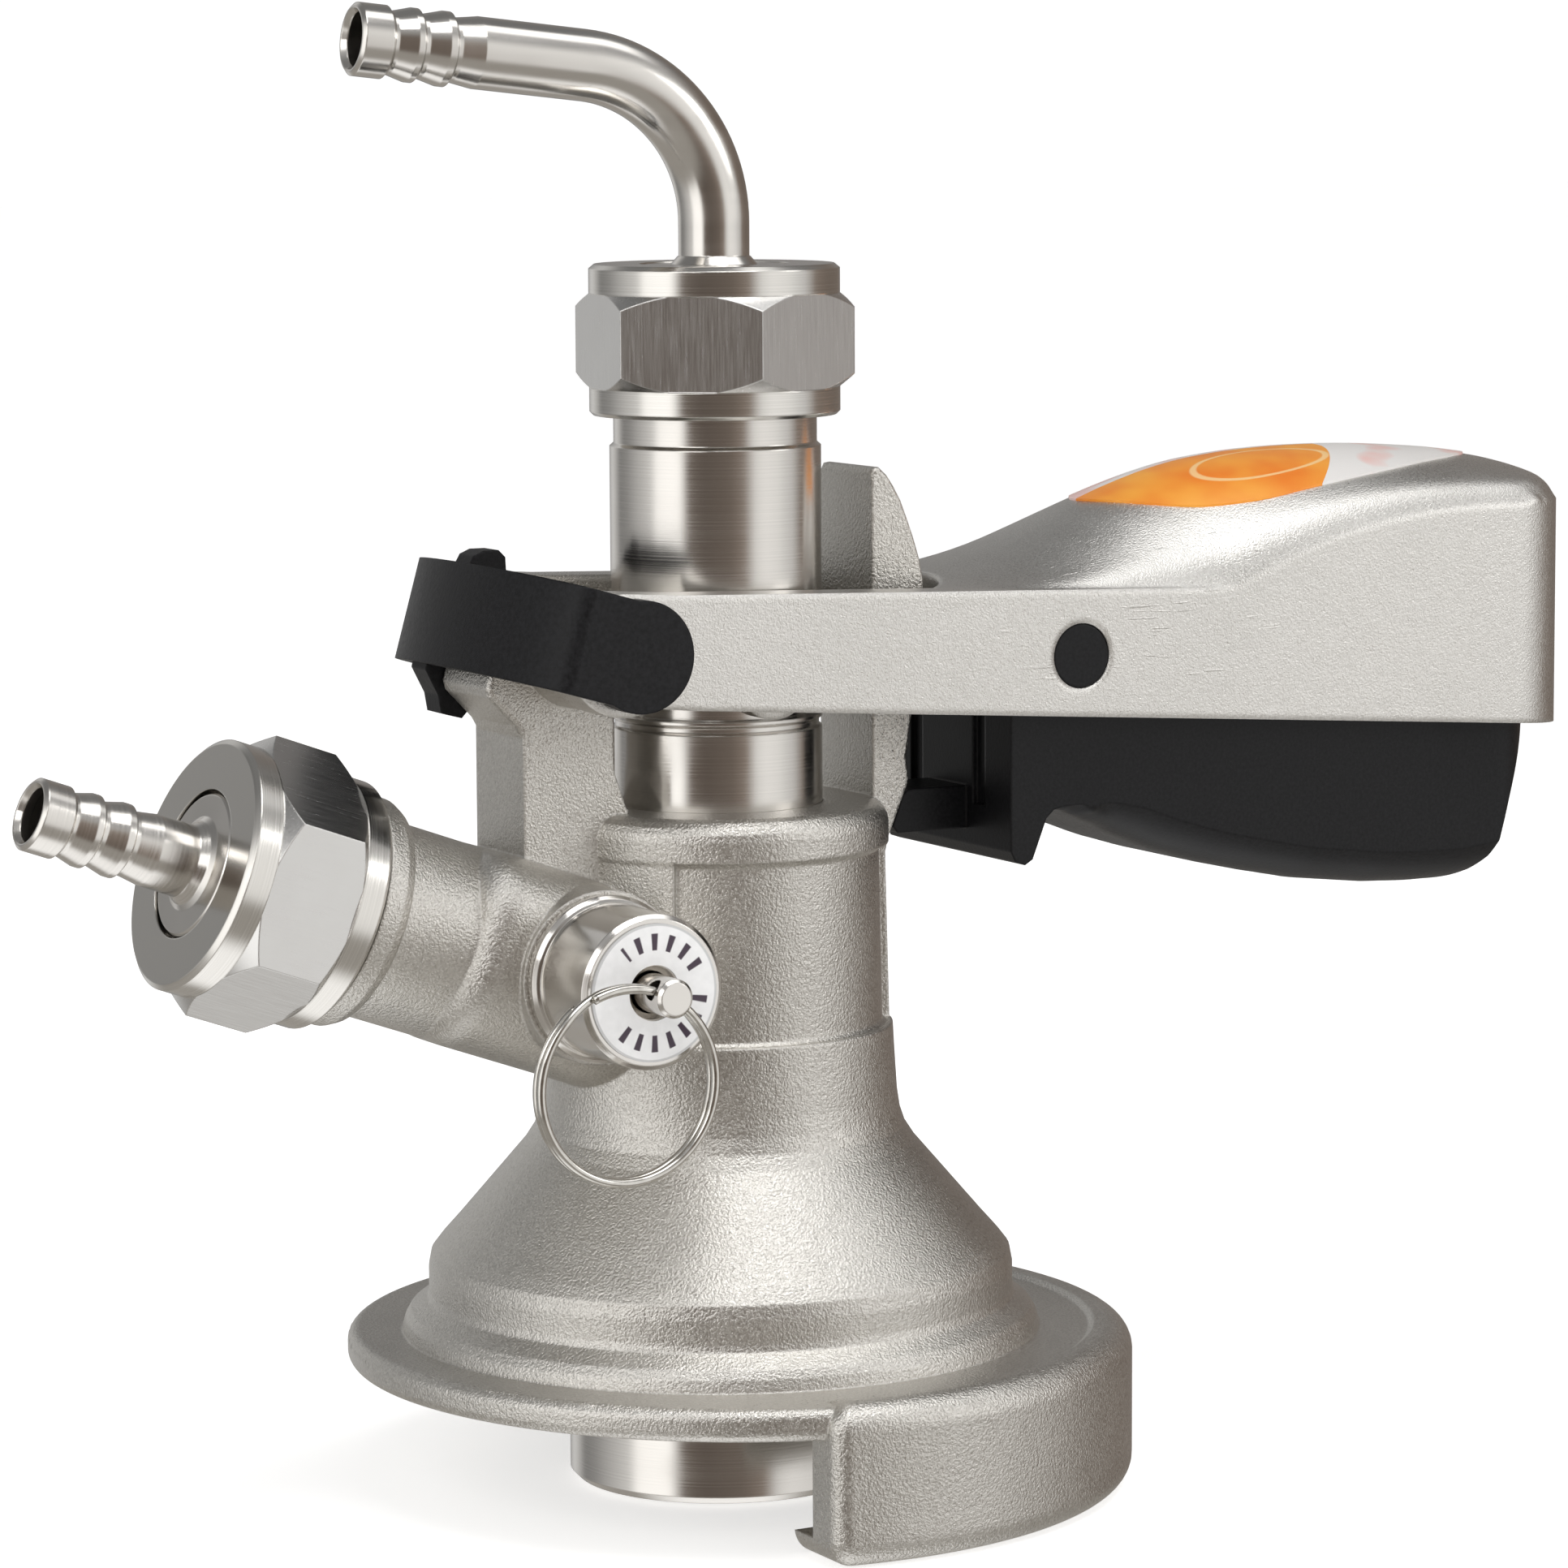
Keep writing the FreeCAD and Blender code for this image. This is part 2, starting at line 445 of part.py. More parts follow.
def top_height(x, y, shoulder):
    rdg, edg = station_value(x, 1), station_value(x, 2)
    z = edg + (rdg - edg) * max(0.0, 1 - (y / ARM_OUT) ** 2)
    if shoulder:
        q = inset(x, y)
        if q < SHOULDER:
            f = min(1.0, (SHOULDER - q) / SHOULDER)
            z -= SHOULDER * (1 - math.sqrt(max(0.0, 1 - (0.93 * f) ** 2)))
        f = min(1.0, max(0.0, (7.0 - (HANDLE_END_X - x)) / 7.0))
        z -= 2.0 * (1 - math.sqrt(1 - (0.93 * f) ** 2))
    return z


def grid(x0, x1, dx, hw, dy, shoulder):
    nx, ny = int(round((x1 - x0) / dx)), int(round(2 * hw / dy))
    return [[V(x0 + i * (x1 - x0) / nx, -hw + j * 2 * hw / ny,
               top_height(x0 + i * (x1 - x0) / nx, -hw + j * 2 * hw / ny, shoulder))
             for j in range(ny + 1)] for i in range(nx + 1)]


def under(points, lift, depth):
    """solid between the surface through the points and a plane well below it"""
    surf = Part.BSplineSurface()
    surf.interpolate([[p + V(0, 0, lift) for p in row] for row in points])
    return surf.toShape().extrude(V(0, 0, -depth))


def plan(x0, x1, hw, r, z0, z1):
    """plan outline with rounded rear corners"""
    b = Part.makeBox(x1 - x0, 2 * hw, z1 - z0, V(x0, -hw, z0))
    return b.makeFillet(r, [e for e in b.Edges if e.BoundBox.ZLength > 1 and abs(e.BoundBox.XMin - x1) < 1e-3])


skin = grid(18.0, 107.0, 1.25, 17.6, 1.1, True)
crown = grid(8.0, 107.0, 3.0, 17.6, 2.2, False)
grip_plan = plan(22.0, HANDLE_END_X, ARM_OUT, REAR_CORNER, 60, 130)
lower = prism([(-60, arm_bot(-60)), (120, arm_bot(120)), (120, 20), (-60, 20)], -30, 30)
shell = under(skin, 0.0, 60.0).common(grip_plan).cut(lower)
hollow = under(crown, -WALL, 60.0).common(plan(9.0, HANDLE_END_X - WALL + 0.6, ARM_OUT - WALL, 7.2, 30, 130))
shell = shell.cut(hollow)
# scoop at the front of the web, around the probe
shell = shell.cut(cyl(12.9, 60, V(13.6, 0, 70)))
# the end face leans forward towards the top
shell = shell.cut(prism([(HANDLE_END_X + 5, 97.0), (HANDLE_END_X, 97.0), (HANDLE_END_X - 0.25, 100.0),
                         (HANDLE_END_X - 0.6, 103.0), (HANDLE_END_X - 1.1, 106.0), (HANDLE_END_X - 1.8, 109.0),
                         (HANDLE_END_X - 2.6, 112.0), (HANDLE_END_X + 5, 112.0)], -30, 30))


def arm(side):
    x0, x1 = PIV_X, 28.8
    pts = [(x0, arm_bot(x0) + 0.3), (-12.0, arm_bot(-12.0)), (x1, arm_bot(x1)), (x1, arm_top(x1)),
           (-14.0, arm_top(-14.0)), (x0, PIV_Z + ARM_END_R)]
    y0, y1 = (ARM_IN, ARM_OUT) if side > 0 else (-ARM_OUT, -ARM_IN)
    bar = prism(pts, y0, y1).fuse(cyl(ARM_END_R, ARM_OUT - ARM_IN, V(PIV_X, y0, PIV_Z), Y))
    nose = cyl(BOSS_R, ARM_IN + 1 - BOSS_TIP_Y, V(0, BOSS_TIP_Y if side > 0 else -ARM_IN - 1, BOSS_Z), Y)
    # the straight upper edge of the arm runs on along the side of the grip
    edge_y = (ARM_OUT - 2.9, ARM_OUT) if side > 0 else (-ARM_OUT, -ARM_OUT + 2.9)
    rail = prism([(26.0, 93.0), (26.0, arm_top(26.0)), (60.0, arm_top(60.0)), (60.0, 93.0)], *edge_y)
    return bar.fuse([rail, nose])


handle = shell.fuse([arm(1), arm(-1)])
handle = handle.cut(cyl(PIN_R + 0.05, 60, V(PIV_X, -30, PIV_Z), Y))
handle = handle.cut(cyl(TP_R, 60, V(TP_X, -30, TP_Z), Y))
for y in (-ARM_OUT, ARM_OUT - 0.9):
    handle = handle.cut(cyl(3.65, 0.9, V(TP_X, y, TP_Z), Y))
handle = handle.removeSplitter()
keep("handle", handle)

# label: thin film laid on the crown
flat = [row for row in grid(40.0, 107.0, 2.0, 17.6, 1.6, False)]
half = [(46.8, 0), (48.2, -4.0), (50.8, -6.9), (57.0, -10.3), (64.5, -12.1), (73.5, -12.3), (82.0, -11.4), (89.5, -9.1),
        (95.5, -6.0), (98.4, -3.0), (99.3, 0)]
rim_pts = [V(x, y, 90) for x, y in half] + [V(x, -y, 90) for x, y in half[-2:0:-1]]
edge = Part.BSplineCurve()
edge.interpolate(rim_pts, PeriodicFlag=True)
win = Part.Face(Part.Wire([edge.toShape()])).extrude(V(0, 0, 40))
keep("handle_label", under(flat, 0.25, 30.0).common(win).cut(under(skin, 0.0, 60.0)))

# ---------------------------------------------------------------- pins
keep("hinge_pin", cyl(PIN_R - 0.01, 2 * 17.3, V(PIV_X, -17.3, PIV_Z), Y))
keep("trigger_pin", cyl(TP_R - 0.01, 2 * 16.8, V(TP_X, -16.8, TP_Z), Y).fuse(
    [cyl(3.55, 0.75, V(TP_X, -17.35, TP_Z), Y), cyl(3.55, 0.75, V(TP_X, 16.6, TP_Z), Y)]).removeSplitter())

# ---------------------------------------------------------------- hinge clip (tilted strap)
TILT = 16.1
CLIP_U, CLIP_A, CLIP_R = -6.1, 6.3, 20.2
CLIP_H, CLIP_T = 11.4, 2.2


def ubody(off, z0, z1):
    """U-shaped block: straight sides and an elliptical front, inset by off"""
    a_, r_, u1 = CLIP_A - off, CLIP_R - off, 12.0
    ell = Part.Ellipse(V(CLIP_U, r_, 0), V(CLIP_U - a_, 0, 0), V(CLIP_U, 0, 0))
    arc = Part.Arc(ell, 0, math.pi).toShape()
    w = Part.Wire(Part.__sortEdges__([
        arc, Part.LineSegment(V(CLIP_U, -r_, 0), V(u1, -r_, 0)).toShape(),
        Part.LineSegment(V(u1, -r_, 0), V(u1, r_, 0)).toShape(),
        Part.LineSegment(V(u1, r_, 0), V(CLIP_U, r_, 0)).toShape()]))
    f = Part.Face(w)
    f.translate(V(0, 0, z0))
    return f.extrude(V(0, 0, z1 - z0))


TAB_U, TAB_R = 0.9, 6.05
clip = ubody(0, -CLIP_H / 2, CLIP_H / 2).cut(ubody(CLIP_T, -20, 20))
side = cyl(TAB_R, 60, V(TAB_U, -30, 0), Y).fuse(Part.makeBox(TAB_U + 30, 60, CLIP_H, V(-30, -30, -CLIP_H / 2)))
tabs = cyl(TAB_R, 2 * CLIP_R, V(TAB_U, -CLIP_R, 0), Y).cut(cyl(30, 2 * (CLIP_R - CLIP_T), V(0, -CLIP_R + CLIP_T, 0), Y))
clip = clip.common(side).fuse(tabs.common(cyl(TAB_R, 60, V(TAB_U, -30, 0), Y)))
mclip = FreeCAD.Placement(V(PIV_X, 0, PIV_Z + 0.3), FreeCAD.Rotation(Y, TILT))
clip.Placement = mclip
# rib with its lug and hook beside the post
rib = prism([(-30.6, 99.8), (-27.6, 102.4), (-26.6, 104.1), (-25.4, 104.6), (-23.6, 104.6), (-22.8, 103.8), (-22.7, 101.9),
             (-25.4, 100.9), (-27.6, 98.6), (-28.3, 96.0), (-28.3, 92.4), (-26.95, 89.2), (-26.85, 87.9),
             (-28.3, 86.4), (-30.75, 87.1), (-31.1, 89.1), (-32.6, 92.0), (-31.6, 96.0)], 6.2, 9.8)
clip = clip.fuse(rib)
keep("hinge_clip", clip.removeSplitter())

# ---------------------------------------------------------------- trigger
catch = prism([(29.6, 94.6), (29.6, 69.9), (30.2, 68.7), (31.4, 68.3), (32.4, 68.9), (33.4, 71.4), (34.2, 73.4),
               (35.2, 74.3), (36.6, 74.6), (40.0, 80.0), (44.0, 89.0), (42.0, 93.6), (40.2, 95.2), (31.6, 95.2)],
              -TRIG_HALF, TRIG_HALF)
BELLY = [(30.0, 74.4), (35.2, 74.3), (36.6, 74.0), (40.1, 72.6), (43.7, 71.2), (46.0, 70.1), (51.5, 68.0), (57.5, 66.2),
         (63.6, 64.8), (70.5, 63.4), (80.6, 62.2), (86.5, 61.9), (91.5, 61.9), (96.0, 62.4), (104.0, 64.8)]


def belly(x, y):
    """underside of the grip: a long curve that rolls up at both sides"""
    n = len(BELLY)
    i = 0
    while i < n - 2 and x > BELLY[i + 1][0]:
        i += 1
    t = (x - BELLY[i][0]) / (BELLY[i + 1][0] - BELLY[i][0])
    z = BELLY[i][1] + t * (BELLY[i + 1][1] - BELLY[i][1])
    g = min(1.0, max(0.0, (x - 34.0) / 14.0))
    roll = 0.8 + 5.7 * g * g * (3 - 2 * g)
    f = min(1.0, max(0.0, (abs(y) - (TRIG_HALF - roll)) / roll))
    return z + roll * (1 - math.sqrt(1 - (0.94 * f) ** 2))


low = [[V(30.0 + i * 1.48, -14.0 + j * 28.0 / 28, belly(30.0 + i * 1.48, -14.0 + j * 28.0 / 28)) for j in range(29)]
       for i in range(51)]
surf = Part.BSplineSurface()
surf.interpolate(low)
above = surf.toShape().extrude(V(0, 0, 60.0))
grip = prism([(31.0, 60), (31.0, 89.9), (44.0, 89.0), (102.3, 86.6), (102.5, 84.0), (99.9, 76.5), (98.0, 71.5), (96.5, 66.9),
              (95.6, 64.7), (94.0, 63.0), (91.0, 61.5), (91.0, 60)], -TRIG_HALF, TRIG_HALF)
grip = grip.common(plan(30.0, 102.7, TRIG_HALF, 7.0, 50, 110)).common(above)
trig = catch.fuse(grip)
inner_pts = [(32.0, 110), (32.0, 76.4), (36.4, 76.8), (41.2, 74.9), (52.0, 71.2), (64.0, 68.0), (74.0, 66.0),
             (85.1, 65.2), (90.6, 65.5), (93.2, 67.4), (98.6, 84.0), (98.6, 110)]
hol = prism(inner_pts, -TRIG_HALF + 2.6, TRIG_HALF - 2.6)
trig = trig.cut(hol)
tongue = prism([(31.0, 76.4), (22.0, 76.4), (21.3, 75.8), (20.0, 72.4), (20.6, 71.6), (31.0, 71.6)], -4.2, 4.2)
trig = trig.fuse(tongue)
for y in (-8.2, 5.6):
    trig = trig.cut(Part.makeBox(0.8, 2.6, 22.0, V(29.4, y, 74.5)))
trig = trig.cut(cyl(TP_R + 0.05, 60, V(TP_X, -30, TP_Z), Y))
keep("trigger", trig.removeSplitter())

# trigger spring: torsion coil round the pin with two legs
tsp = coil(4.0, 0.45, 1.15, 9.2, frame_at(V(TP_X, -4.6, TP_Z), Y, V(0, 0, -1)))
keep("trigger_spring", tsp)

# ---------------------------------------------------------------- write
tot = 0
for name in sorted(nodes):
    s = nodes[name]
    bb = s.BoundBox
    print("%-20s valid=%s solids=%d vol=%9.1f  x %.2f..%.2f y %.2f..%.2f z %.2f..%.2f" % (
        name, s.isValid(), len(s.Solids), s.Volume, bb.XMin, bb.XMax, bb.YMin, bb.YMax, bb.ZMin, bb.ZMax))
    if len(s.Solids) == 1:
        s = s.Solids[0]
    s.exportStep("parts/%s.step" % name)
    tot += 1
print(tot, "nodes")
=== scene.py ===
import bpy
import bmesh
import math
from mathutils import Vector, Matrix


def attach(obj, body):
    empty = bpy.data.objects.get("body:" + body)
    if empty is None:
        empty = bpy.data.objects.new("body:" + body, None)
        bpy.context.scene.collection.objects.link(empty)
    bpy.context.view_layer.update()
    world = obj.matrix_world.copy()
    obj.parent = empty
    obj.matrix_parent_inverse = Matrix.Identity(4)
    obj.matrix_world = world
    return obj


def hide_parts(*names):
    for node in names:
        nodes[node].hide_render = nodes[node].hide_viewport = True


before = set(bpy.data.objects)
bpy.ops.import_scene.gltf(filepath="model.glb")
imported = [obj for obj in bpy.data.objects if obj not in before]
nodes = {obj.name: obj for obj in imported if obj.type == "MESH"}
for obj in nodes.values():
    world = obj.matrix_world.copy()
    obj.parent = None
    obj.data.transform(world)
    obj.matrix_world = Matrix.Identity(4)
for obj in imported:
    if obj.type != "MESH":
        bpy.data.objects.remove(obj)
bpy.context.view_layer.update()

# ------------------------------------------------------------------ dimensions (metres, row frame)
MM = 0.001
GAS_FACE = Vector((-63.06, 0.0, 73.61)) * MM
GAS_SLOPE = math.radians(19.77)
GAS_DIR = Vector((-math.cos(GAS_SLOPE), 0.0, math.sin(GAS_SLOPE)))
BEER_FACE_Z = 135.5 * MM
REL = Vector((-21.3, 0.0, 59.8)) * MM
RING_HOLE = Vector((-21.3, -28.1, 59.8)) * MM
RING_OFF = Vector((-4.6, 0.0, -8.6)).normalized()

# ------------------------------------------------------------------ camera (photograph's viewpoint)
FOCAL_PX, FRAME_PX = 7100.0, 1932.0
tilt, az, roll, dist = math.radians(7.05), math.radians(-29.0), math.radians(-0.30), 638.3
back = Vector((math.sin(az) * math.cos(tilt), -math.cos(az) * math.cos(tilt), math.sin(tilt)))
right = Vector((math.cos(az), math.sin(az), 0.0))
up = back.cross(right)
r2 = right * math.cos(roll) + up * math.sin(roll)
u2 = -right * math.sin(roll) + up * math.cos(roll)
eye = (Vector((0, 0, 78.0)) + back * dist - r2 * ((884.0 - 966.0) / FOCAL_PX * dist)) * MM
cam_data = bpy.data.cameras.new("photo_camera")
cam_data.sensor_width = 36.0
cam_data.lens = 36.0 * FOCAL_PX / FRAME_PX
cam_data.clip_start = 0.01
cam = bpy.data.objects.new("photo_camera", cam_data)
bpy.context.scene.collection.objects.link(cam)
m = Matrix((r2, u2, back)).transposed().to_4x4()
m.translation = eye
cam.matrix_world = m
bpy.context.scene.camera = cam
bpy.context.scene.view_settings.view_transform = "Standard"


# ------------------------------------------------------------------ node helpers
class Mat:
    """small builder for procedural materials"""

    def __init__(self, name):
        self.m = bpy.data.materials.new(name)
        self.m.use_nodes = True
        self.t = self.m.node_tree
        self.t.nodes.clear()
        self.out = self.t.nodes.new("ShaderNodeOutputMaterial")
        self.b = self.t.nodes.new("ShaderNodeBsdfPrincipled")
        self.t.links.new(self.b.outputs[0], self.out.inputs[0])

    def new(self, kind, **kw):
        n = self.t.nodes.new(kind)
        for k, v in kw.items():
            setattr(n, k, v)
        return n

    def link(self, a, b):
        self.t.links.new(a, b)

    def put(self, sock, v):
        if isinstance(v, bpy.types.NodeSocket):
            self.link(v, sock)
        elif v is not None:
            sock.default_value = v

    def coords(self):
        if not hasattr(self, "_tc"):
            self._tc = self.new("ShaderNodeTexCoord")
        return self._tc.outputs["Object"]

    def mapping(self, vec, loc=(0, 0, 0), rot=(0, 0, 0), scale=(1, 1, 1), kind="POINT"):
        n = self.new("ShaderNodeMapping", vector_type=kind)
        self.put(n.inputs["Vector"], vec)
        n.inputs["Location"].default_value = loc
        n.inputs["Rotation"].default_value = rot
        n.inputs["Scale"].default_value = scale
        return n.outputs[0]

    def math(self, op, a, b=None, c=None, clamp=False):
        n = self.new("ShaderNodeMath", operation=op, use_clamp=clamp)
        self.put(n.inputs[0], a)
        if b is not None:
            self.put(n.inputs[1], b)
        if c is not None:
            self.put(n.inputs[2], c)
        return n.outputs[0]

    def xyz(self, vec):
        n = self.new("ShaderNodeSeparateXYZ")
        self.put(n.inputs[0], vec)
        return n.outputs[0], n.outputs[1], n.outputs[2]

    def noise(self, vec, scale, detail=2.0, rough=0.5, distortion=0.0):
        n = self.new("ShaderNodeTexNoise")
        self.put(n.inputs["Vector"], vec)
        n.inputs["Scale"].default_value = scale
        n.inputs["Detail"].default_value = detail
        n.inputs["Roughness"].default_value = rough
        n.inputs["Distortion"].default_value = distortion
        return n.outputs["Fac"]

    def voronoi(self, vec, scale, feature="F1"):
        n = self.new("ShaderNodeTexVoronoi", feature=feature)
        self.put(n.inputs["Vector"], vec)
        n.inputs["Scale"].default_value = scale
        return n.outputs["Distance"]

    def range(self, v, a, b, c, d, kind="LINEAR"):
        n = self.new("ShaderNodeMapRange", interpolation_type=kind)
        n.clamp = True
        self.put(n.inputs["Value"], v)
        n.inputs["From Min"].default_value = a
        n.inputs["From Max"].default_value = b
        n.inputs["To Min"].default_value = c
        n.inputs["To Max"].default_value = d
        return n.outputs["Result"]

    def band(self, v, lo, hi, soft=0.00008):
        """1 between lo and hi"""
        a = self.range(v, lo - soft, lo + soft, 0, 1, "SMOOTHSTEP")
        b = self.range(v, hi - soft, hi + soft, 1, 0, "SMOOTHSTEP")
        return self.math("MULTIPLY", a, b)

    def mix(self, f, a, b):
        n = self.new("ShaderNodeMix", data_type="RGBA")
        self.put(n.inputs[0], f)
        self.put(n.inputs[6], a)
        self.put(n.inputs[7], b)
        return n.outputs[2]

    def mixf(self, f, a, b):
        n = self.new("ShaderNodeMix", data_type="FLOAT")
        self.put(n.inputs[0], f)
        self.put(n.inputs[2], a)
        self.put(n.inputs[3], b)
        return n.outputs[0]

    def bump(self, height, strength, distance, normal=None):
        n = self.new("ShaderNodeBump")
        n.inputs["Strength"].default_value = strength
        n.inputs["Distance"].default_value = distance
        self.put(n.inputs["Height"], height)
        if normal is not None:
            self.put(n.inputs["Normal"], normal)
        return n.outputs[0]

    def bevel(self, radius, samples=6):
        n = self.new("ShaderNodeBevel")
        n.samples = samples
        n.inputs["Radius"].default_value = radius
        return n.outputs[0]


def rgba(r, g, b):
    return (r, g, b, 1.0)


# ------------------------------------------------------------------ materials
def cast_steel(name, seed=0.0, smooth=False):
    """bead-blasted stainless casting: sparkling grain, soft mottling, slight flow marks"""
    k = Mat(name)
    v = k.mapping(k.coords(), loc=(seed, seed * 0.7, -seed))
    broad = k.noise(v, 45.0, 3.0, 0.55)
    mid = k.noise(v, 380.0, 3.0, 0.6)
    grain = k.noise(v, 4300.0 if smooth else 3300.0, 1.8, 0.6)
    micro = k.noise(v, 8200.0, 1.0, 0.5)
    pits = k.voronoi(v, 700.0)
    speck = k.range(pits, 0.0, 0.13, 1.0, 0.0)
    c = k.mix(k.range(broad, 0.3, 0.7, 0, 1), rgba(0.72, 0.705, 0.675) if smooth else rgba(0.66, 0.64, 0.60),
              rgba(0.80, 0.785, 0.755) if smooth else rgba(0.75, 0.73, 0.69))
    c = k.mix(k.range(grain, 0.34, 0.66, 0.0, 1.0), k.mix(0.35 if smooth else 0.5, c, rgba(0.42, 0.40, 0.37)), c)
    c = k.mix(k.math("MULTIPLY", speck, 0.25), c, rgba(0.30, 0.28, 0.26))
    k.put(k.b.inputs["Base Color"], c)
    k.b.inputs["Metallic"].default_value = 1.0
    r = k.range(grain, 0.3, 0.7, 0.27 if smooth else 0.28, 0.38 if smooth else 0.42)
    r = k.math("ADD", r, k.range(broad, 0.3, 0.7, -0.03, 0.04))
    k.put(k.b.inputs["Roughness"], r)
    n = k.bump(mid, 0.30, 0.00014, k.bevel(0.0011 if smooth else 0.0005))
    if smooth:
        # faint lengthwise flow lines of the casting, in patches
        flow = k.noise(k.mapping(v, scale=(0.07, 1.0, 1.0)), 1500.0, 2.0, 0.6)
        patch = k.range(k.noise(v, 26.0, 1.0), 0.50, 0.66, 0.0, 1.0, "SMOOTHSTEP")
        line = k.range(flow, 0.64, 0.72, 0.0, 1.0, "SMOOTHSTEP")
        n = k.bump(k.math("MULTIPLY", line, patch), 0.8, 0.00006, n)
    h = k.math("SUBTRACT", grain, k.math("MULTIPLY", speck, 0.25))
    n = k.bump(h, 1.0, 0.00006 if smooth else 0.00014, n)
    n = k.bump(micro, 0.7, 0.00003, n)
    k.put(k.b.inputs["Normal"], n)
    return k.m


def turned_steel(name, axis_rot=(0, 0, 0), rough=0.17, line=5200.0, tint=(0.70, 0.675, 0.64)):
    """turned stainless: fine rings round the local Z axis"""
    k = Mat(name)
    v = k.mapping(k.coords(), rot=axis_rot)
    x, y, z = k.xyz(v)
    rings = k.new("ShaderNodeTexNoise")
    rings.noise_dimensions = "1D"
    k.put(rings.inputs["W"], z)
    rings.inputs["Scale"].default_value = line
    rings.inputs["Detail"].default_value = 3.0
    smear = k.noise(k.mapping(v, scale=(1, 1, 2.0)), 90.0, 2.0)
    c = k.mix(k.range(rings.outputs["Fac"], 0.3, 0.7, 0, 1), rgba(*[q * 0.93 for q in tint]), rgba(*tint))
    k.put(k.b.inputs["Base Color"], c)
    k.b.inputs["Metallic"].default_value = 1.0
    r = k.math("ADD", k.range(smear, 0.3, 0.7, rough - 0.03, rough + 0.05),
               k.range(rings.outputs["Fac"], 0.3, 0.7, -0.02, 0.05))
    k.put(k.b.inputs["Roughness"], r)
    n = k.bump(rings.outputs["Fac"], 0.10, 0.00002, k.bevel(0.00022))
    k.put(k.b.inputs["Normal"], n)
    return k.m


def nut_steel(name, loc, rot, hex_lo, hex_hi):
    """union nut: ground hexagon between two polished turned collars; local Z along the nut"""
    k = Mat(name)
    v0 = k.mapping(k.coords(), loc=loc)
    v = k.mapping(v0, rot=rot)
    x, y, z = k.xyz(v)
    hexa = k.band(z, hex_lo, hex_hi, 0.0001)
    rings = k.new("ShaderNodeTexNoise")
    rings.noise_dimensions = "1D"
    k.put(rings.inputs["W"], z)
    rings.inputs["Scale"].default_value = 4200.0
    rings.inputs["Detail"].default_value = 3.0
    streak = k.noise(k.mapping(v, scale=(1.0, 1.0, 0.05)), 4200.0, 3.0, 0.6)
    mott = k.noise(v, 140.0, 3.0, 0.6)
    c_ring = k.mix(k.range(rings.outputs["Fac"], 0.3, 0.7, 0, 1), rgba(0.64, 0.62, 0.585), rgba(0.72, 0.70, 0.665))
    c_hex = k.mix(k.range(streak, 0.3, 0.7, 0, 1), rgba(0.60, 0.59, 0.575), rgba(0.66, 0.65, 0.635))
    c_hex = k.mix(k.range(mott, 0.35, 0.7, 0, 0.6), c_hex, rgba(0.66, 0.655, 0.64))
    k.put(k.b.inputs["Base Color"], k.mix(hexa, c_ring, c_hex))
    k.b.inputs["Metallic"].default_value = 1.0
    r_ring = k.range(rings.outputs["Fac"], 0.3, 0.7, 0.14, 0.22)
    r_hex = k.range(streak, 0.3, 0.7, 0.20, 0.28)
    k.put(k.b.inputs["Roughness"], k.mixf(hexa, r_ring, r_hex))
    hgt = k.mixf(hexa, rings.outputs["Fac"], streak)
    k.put(k.b.inputs["Normal"], k.bump(hgt, 0.10, 0.00002, k.bevel(0.00022)))
    return k.m


def wire_steel(name):
    k = Mat(name)
    v = k.coords()
    a = k.noise(v, 900.0, 2.0)
    k.put(k.b.inputs["Base Color"], k.mix(k.range(a, 0.3, 0.7, 0, 1), rgba(0.55, 0.53, 0.49), rgba(0.68, 0.66, 0.62)))
    k.b.inputs["Metallic"].default_value = 1.0
    k.put(k.b.inputs["Roughness"], k.range(a, 0.3, 0.7, 0.16, 0.26))
    k.put(k.b.inputs["Normal"], k.bump(k.noise(v, 3000.0, 2.0), 0.08, 0.00002))
    return k.m


def black_plastic(name, rough=0.36, grain=2600.0, amount=0.35, depth=1.0):
    """fine-textured black moulding"""
    k = Mat(name)
    v = k.coords()
    fine = k.noise(v, grain, 2.5, 0.6)
    broad = k.noise(v, 60.0, 2.0)
    c = k.mix(k.range(fine, 0.3, 0.7, 0, 1), rgba(*[q * depth for q in (0.004, 0.004, 0.0046)]), rgba(*[q * depth for q in (0.010, 0.010, 0.0112)]))
    k.put(k.b.inputs["Base Color"], c)
    r = k.math("ADD", k.range(fine, 0.25, 0.75, rough - 0.05, rough + 0.08), k.range(broad, 0.3, 0.7, -0.03, 0.03))
    k.put(k.b.inputs["Roughness"], r)
    k.b.inputs["Specular IOR Level"].default_value = 0.2
    k.put(k.b.inputs["Normal"], k.bump(fine, amount, 0.00005, k.bevel(0.0004)))
    return k.m


def rubber(name, base=(0.02, 0.02, 0.021)):
    k = Mat(name)
    v = k.coords()
    f = k.noise(v, 1800.0, 2.0)
    k.put(k.b.inputs["Base Color"], k.mix(k.range(f, 0.3, 0.7, 0, 1), rgba(*base), rgba(*[q * 1.6 for q in base])))
    k.put(k.b.inputs["Roughness"], k.range(f, 0.3, 0.7, 0.55, 0.7))
    k.put(k.b.inputs["Normal"], k.bump(f, 0.15, 0.00003))
    return k.m


def white_plastic(name):
    k = Mat(name)
    v = k.coords()
    f = k.noise(v, 1200.0, 2.0)
    k.put(k.b.inputs["Base Color"], k.mix(k.range(f, 0.3, 0.7, 0, 1), rgba(0.72, 0.72, 0.70), rgba(0.82, 0.82, 0.80)))
    k.put(k.b.inputs["Roughness"], k.range(f, 0.3, 0.7, 0.35, 0.45))
    return k.m


